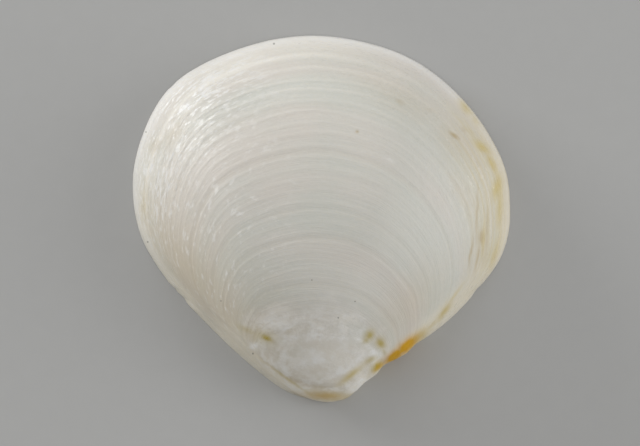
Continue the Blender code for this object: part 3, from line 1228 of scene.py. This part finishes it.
def back_and_band(place, colours):
    """The lower back, warmer and darker, partly painted shade; the pale band behind the hinge, and the
    groove beside it.
    """
    # Darker and warmer towards the lower back, partly painted shade on the steep side away from the lamps
    lower_back_shade = soft_step(place.x + place.y * 1.1, -4.0 * MM, -14.5 * MM)
    near_beak = soft_step(place.x, -5.5 * MM, -1.5 * MM)
    return [
        (lower_back_shade * (0.42 + place.cloud * 0.2), colours.cream),
        (place.fold * 0.85 + place.groove * 0.1, colours.pale),
        (place.groove * near_beak * 0.4, colours.tan),
    ]


def thin_edge_and_glow(place, colours):
    """The thin edge: a paler colour with a painted glow of light through the thin shell, pearly on the
    top and back and pale towards the beak, and the pale places beside it.
    """
    # Painted glow of light through the thin edge: pearly on the top and back, which face the lamps, and
    # pale towards the beak
    low = soft_step(place.y - place.x * 0.35, 6.0 * MM, -3.0 * MM)
    rim = colour_mix(place.tree, low, colours.pearl, colours.pale)
    return [
        (place.edge * (0.45 + place.streak * 0.3 + place.cloud * 0.2), rim),
        (stains(place.x, place.y, PALE_PLACES), colours.pale),
    ]


def painted_glints_and_flecks(place, colours):
    """Painted highlights with some white flecks: glints near the margin at the back end, which faces the
    key lamp, and sparse bright dashes further from it, partly glints too.
    """
    dashes_and_glints = soft_step(place.along(1.0, 70.0, 75.0, detail=4.0), 0.12, 0.42)
    dashes_and_glints = dashes_and_glints * place.at_back * soft_step(place.turn, 44.0, 32.0) * soft_step(place.turn, 3.0, 7.0)
    return [
        (place.glints_and_flecks * place.glint_and_fleck_part * 0.85, colours.pearl),
        (dashes_and_glints * 0.45, colours.pearl),
    ]


def worn_cap(place, colours):
    """The worn umbo: chalky flakes over the grey shell, mottled and with brighter flakes."""
    mottle = soft_step(place.noise(1000.0, lift=0.02, detail=4.0, roughness=0.6), -0.1, 0.4)
    broken = 0.75 + place.speckle * 1.2 + place.grain * 0.6
    return [
        (place.near_cap * (0.1 + place.flakes * 0.8), colours.chalk),
        (place.near_cap * mottle * 0.5, colours.pearl),
        (stains(place.stray_x, place.stray_y, FLAKES) * broken, colours.pearl),
    ]


def coloured_stains(place, colours):
    """The coloured stains, streaked along the growth lines, and the pin dots."""
    streaked = 0.9 + place.fine_streak * 0.3
    layers = []
    for places, colour in (
        (TAN_STAINS, colours.tan),
        (STRAW_STAINS, colours.straw),
        (OLIVE_STAINS, colours.olive),
        (ORANGE_STAINS, colours.orange),
    ):
        layers.append((stains(place.stray_x, place.stray_y, places) * streaked, colour))
    dots = [
        soft_step(from_oval_middle(place.x, place.y, (x, y), (radius, radius)), 1.6, 0.3)
        for x, y, radius in PIN_DOTS
    ]
    layers.append((highest_of(dots) * 0.6, colours.pin))
    return layers


def outside_relief(place):
    """The finest relief: hair lines, dimples, a faint grain, flakes and lapping layers."""
    hair = place.along(13.0, 6.0, 60.0)
    dimple = place.along(2.4, 14.0, 140.0) * soft_step(place.turn, 34.0, 8.0)
    height = place.fine_streak * 0.7 + hair * 0.3 + place.speckle * 0.25
    height = height + dimple * 1.6 + place.flakes * place.near_cap * 0.9

    # Thin layers lap over each other like shingles, each one's free edge towards the margin
    layer = place.turn * 1.4 + place.along(0.5, 31.0, 22.0, detail=3.0) * 0.8
    lap = 1.0 - worked_out(place.tree, "FRACT", layer)
    broken = soft_step(place.along(1.4, 60.0, 90.0), -0.25, 0.2)
    return height + lap * broken * place.glint_and_fleck_part * 2.8


# What lies over the grey and chalky shell, from the lowest layer to the topmost
OUTSIDE_LAYERS = (
    dusky_marks_and_shade,
    front_bands,
    back_and_band,
    thin_edge_and_glow,
    painted_glints_and_flecks,
    worn_cap,
    coloured_stains,
)


def outside_material(colours):
    """The outside: silky grey-white shell with chalky crests, growth bands and stains, and painted light:
    lighter crests, glints, a glowing edge and shade on the lower side.
    """
    material, tree, surface, position = new_material("shell_outside")
    place = OutsidePlace(tree, position)
    colour = grey_and_chalk(place, colours)
    for layers_of in OUTSIDE_LAYERS:
        for share, over in layers_of(place, colours):
            colour = colour_mix(tree, share, colour, over)

    # Silky, duller on the cap, and glossy on the flecks
    glossy = place.glints_and_flecks * soft_step(place.turn, 22.0, 9.0)
    roughness = 0.52 + place.cloud * 0.08 + place.fine_streak * 0.08 + place.cap * 0.1 - glossy * 0.34
    finish_surface(tree, surface, colour, held(roughness, 0.14, 0.7), outside_relief(place), 0.009 * MM)
    return material


def inside_material(colours):
    """The inside: porcelain, with dull muscle scars and a pallial line."""
    material, tree, surface, (x, y, z) = new_material("shell_inside")
    inward = kept(tree, "in_from_lip")
    around = kept(tree, "around")
    loop = (kept(tree, "loop_x"), kept(tree, "loop_y"))
    scar = kept(tree, "scar")
    plate = kept(tree, "plate")
    cloud = uneven(tree, x, y, z, scale=230.0, detail=3.0)
    grain = uneven(tree, x, y, z, scale=2200.0, detail=3.0)

    # The pallial line runs along the free side, with a bay in it towards the back
    bay = soft_step(size_of(around - 0.655), 0.075, 0.02) * 0.13
    free_side = soft_step(size_of(around - 0.5), 0.27, 0.2)
    line = bell(inward + cloud * 0.006, 0.2 + bay, 0.012) * free_side * (1.0 - scar)
    outer = soft_step(inward, 0.22, 0.14) * free_side
    deep = soft_step(y, -3.0 * MM, -8.5 * MM) * (1.0 - plate)
    colour = colour_mix(tree, 0.5 + cloud * 0.3, colours.porcelain, colours.chalk)
    colour = colour_mix(tree, outer * 0.3, colour, colours.glaze)
    colour = colour_mix(tree, scar * 0.6 + line * 0.7, colour, colours.scar)
    colour = colour_mix(tree, deep * 0.3, colour, colours.cream)

    roughness = 0.2 + cloud * 0.05 + scar * 0.12 + outer * 0.12
    lines = along_rings(tree, inward * 120.0, loop, 30.0)
    height = grain * 0.2 + lines * (0.2 + scar * 0.5) + line * -1.0
    finish_surface(tree, surface, colour, held(roughness, 0.1, 0.6), height, 0.008 * MM)
    return material


def set_inputs(modifier, tree, groups, others):
    """Sets each input of a modifier by its socket's identifier."""
    values = dict(others)
    for group in groups:
        for size in sizes_in(group):
            values[size.name] = getattr(group, size.identifier)
    for item in tree.interface.items_tree:
        if item.name in values:
            modifier[item.identifier] = values[item.name]


def plain_mesh(name, tree, groups, others):
    """The mesh that a tree makes, as an object with no modifier."""
    start = bpy.data.meshes.new(name + "_start")
    maker = bpy.data.objects.new(name + "_maker", start)
    bpy.context.scene.collection.objects.link(maker)
    modifier = maker.modifiers.new("grow", "NODES")
    modifier.node_group = tree
    set_inputs(modifier, tree, groups, others)
    bpy.context.view_layer.update()
    seen = maker.evaluated_get(bpy.context.evaluated_depsgraph_get())
    mesh = bpy.data.meshes.new_from_object(seen)
    mesh.name = name
    maker.modifiers.remove(modifier)
    bpy.data.objects.remove(maker)
    bpy.data.meshes.remove(start)
    thing = bpy.data.objects.new(name, mesh)
    bpy.context.scene.collection.objects.link(thing)
    return thing


class CLAM_OT_grow_valve(bpy.types.Operator):
    """Grow the valve and give it its finish"""

    bl_idname = "clam.grow_valve"
    bl_label = "Grow Valve"

    def execute(self, context):
        scene = context.scene
        groups = (scene.clam_growth, scene.clam_ridges, scene.clam_inside)
        margin = curve_through("margin_guide", MARGIN_OUTLINE, True)
        back_edge = curve_through("back_edge_guide", BACK_EDGE, False)
        tree = valve_tree(*groups)
        others = {
            "Margin": margin,
            "Back Edge": back_edge,
            "Outside Material": outside_material(scene.clam_colours),
            "Inside Material": inside_material(scene.clam_colours),
        }
        valve = plain_mesh("venus_valve", tree, groups, others)
        bpy.data.objects.remove(margin)
        bpy.data.objects.remove(back_edge)
        if len(valve.data.polygons) == 0:
            raise RuntimeError("the valve has no faces")
        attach(valve, "root")
        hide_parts("left_valve")
        return {"FINISHED"}


def area_light(name, direction, elevation, height, width, power):
    """A soft light that points at the valve, from a direction and an elevation in degrees."""
    light = bpy.data.lights.new(name, "AREA")
    light.shape = "RECTANGLE"
    light.size = height
    light.size_y = width
    light.energy = power
    lamp = bpy.data.objects.new(name, light)
    turned = Euler((0, math.radians(90 - elevation), math.radians(direction)))
    lamp.rotation_euler = turned
    lamp.location = turned.to_matrix() @ Vector((0, 0, LIGHT_DISTANCE))
    lamp.visible_camera = False
    bpy.context.scene.collection.objects.link(lamp)


class CLAM_OT_set_stage(bpy.types.Operator):
    """Make the floor, the lights and the camera"""

    bl_idname = "clam.set_stage"
    bl_label = "Set Stage"

    def execute(self, context):
        stage = context.scene.clam_stage
        bpy.ops.mesh.primitive_plane_add(size=4.0, location=(0, 0, 0))
        floor = context.active_object
        floor.name = "floor"
        material, tree, surface, (x, y, z) = new_material("floor")
        grain = uneven(tree, x, y, z, scale=900.0)
        pale = tuple(stage.floor_colour)
        lighter = tuple(min(1.0, part * 1.06) for part in pale)
        tree.links.new(colour_mix(tree, 0.5 + grain * 0.3, pale, lighter), surface.inputs["Base Color"])
        surface.inputs["Roughness"].default_value = 0.85
        floor.data.materials.append(material)

        world = bpy.data.worlds.new("studio")
        world.use_nodes = True
        background = world.node_tree.nodes["Background"]
        background.inputs["Color"].default_value = (1.0, 1.0, 1.0, 1.0)
        background.inputs["Strength"].default_value = stage.ambient
        context.scene.world = world
        area_light("key", 146, 12, 0.035, 0.15, stage.key_power)
        area_light("fill", 0, 16, 0.18, 0.18, stage.fill_power)
        area_light("top", 90, 30, 0.14, 0.14, stage.top_power)

        # The photograph looks straight down on the back of the valve: its frame is 640 pixels
        # wide, the valve is 380 of them long, and the box's middle is left of the frame's
        frame_width = 40.42 * MM
        lens = bpy.data.cameras.new("camera")
        lens.lens = stage.lens
        lens.sensor_width = 36.0
        camera = bpy.data.objects.new("camera", lens)
        camera.location = (-0.095 * MM, -0.284 * MM, frame_width * stage.lens / lens.sensor_width)
        context.scene.collection.objects.link(camera)
        context.scene.camera = camera
        context.scene.view_settings.view_transform = "Standard"
        return {"FINISHED"}


class CLAM_PT_sidebar(bpy.types.Panel):
    """The clam's sizes, colours and operators in the sidebar"""

    bl_idname = "CLAM_PT_sidebar"
    bl_label = "Venus Clam"
    bl_space_type = "VIEW_3D"
    bl_region_type = "UI"
    bl_category = "Clam"

    def draw(self, context):
        for name in GROUPS:
            box = self.layout.box()
            group = getattr(context.scene, name)
            for size in group.bl_rna.properties:
                if size.identifier not in ("rna_type", "name"):
                    box.prop(group, size.identifier)
        for operator in (CLAM_OT_grow_valve, CLAM_OT_set_stage):
            self.layout.operator(operator.bl_idname)


GROUPS = {
    "clam_growth": ClamGrowth,
    "clam_ridges": ClamRidges,
    "clam_inside": ClamInside,
    "clam_colours": ClamColours,
    "clam_stage": ClamStage,
}
OPERATORS_AND_PANEL = (CLAM_OT_grow_valve, CLAM_OT_set_stage, CLAM_PT_sidebar)


def register():
    for name, group in GROUPS.items():
        bpy.utils.register_class(group)
        setattr(bpy.types.Scene, name, bpy.props.PointerProperty(type=group))
    for one in OPERATORS_AND_PANEL:
        bpy.utils.register_class(one)


def unregister():
    for one in reversed(OPERATORS_AND_PANEL):
        bpy.utils.unregister_class(one)
    for name, group in reversed(GROUPS.items()):
        delattr(bpy.types.Scene, name)
        bpy.utils.unregister_class(group)


def write_sizes():
    """Brings the scene up to date."""
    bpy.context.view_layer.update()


def main():
    register()
    bpy.ops.clam.grow_valve()
    bpy.ops.clam.set_stage()
    write_sizes()


if __name__ == "__main__":
    main()
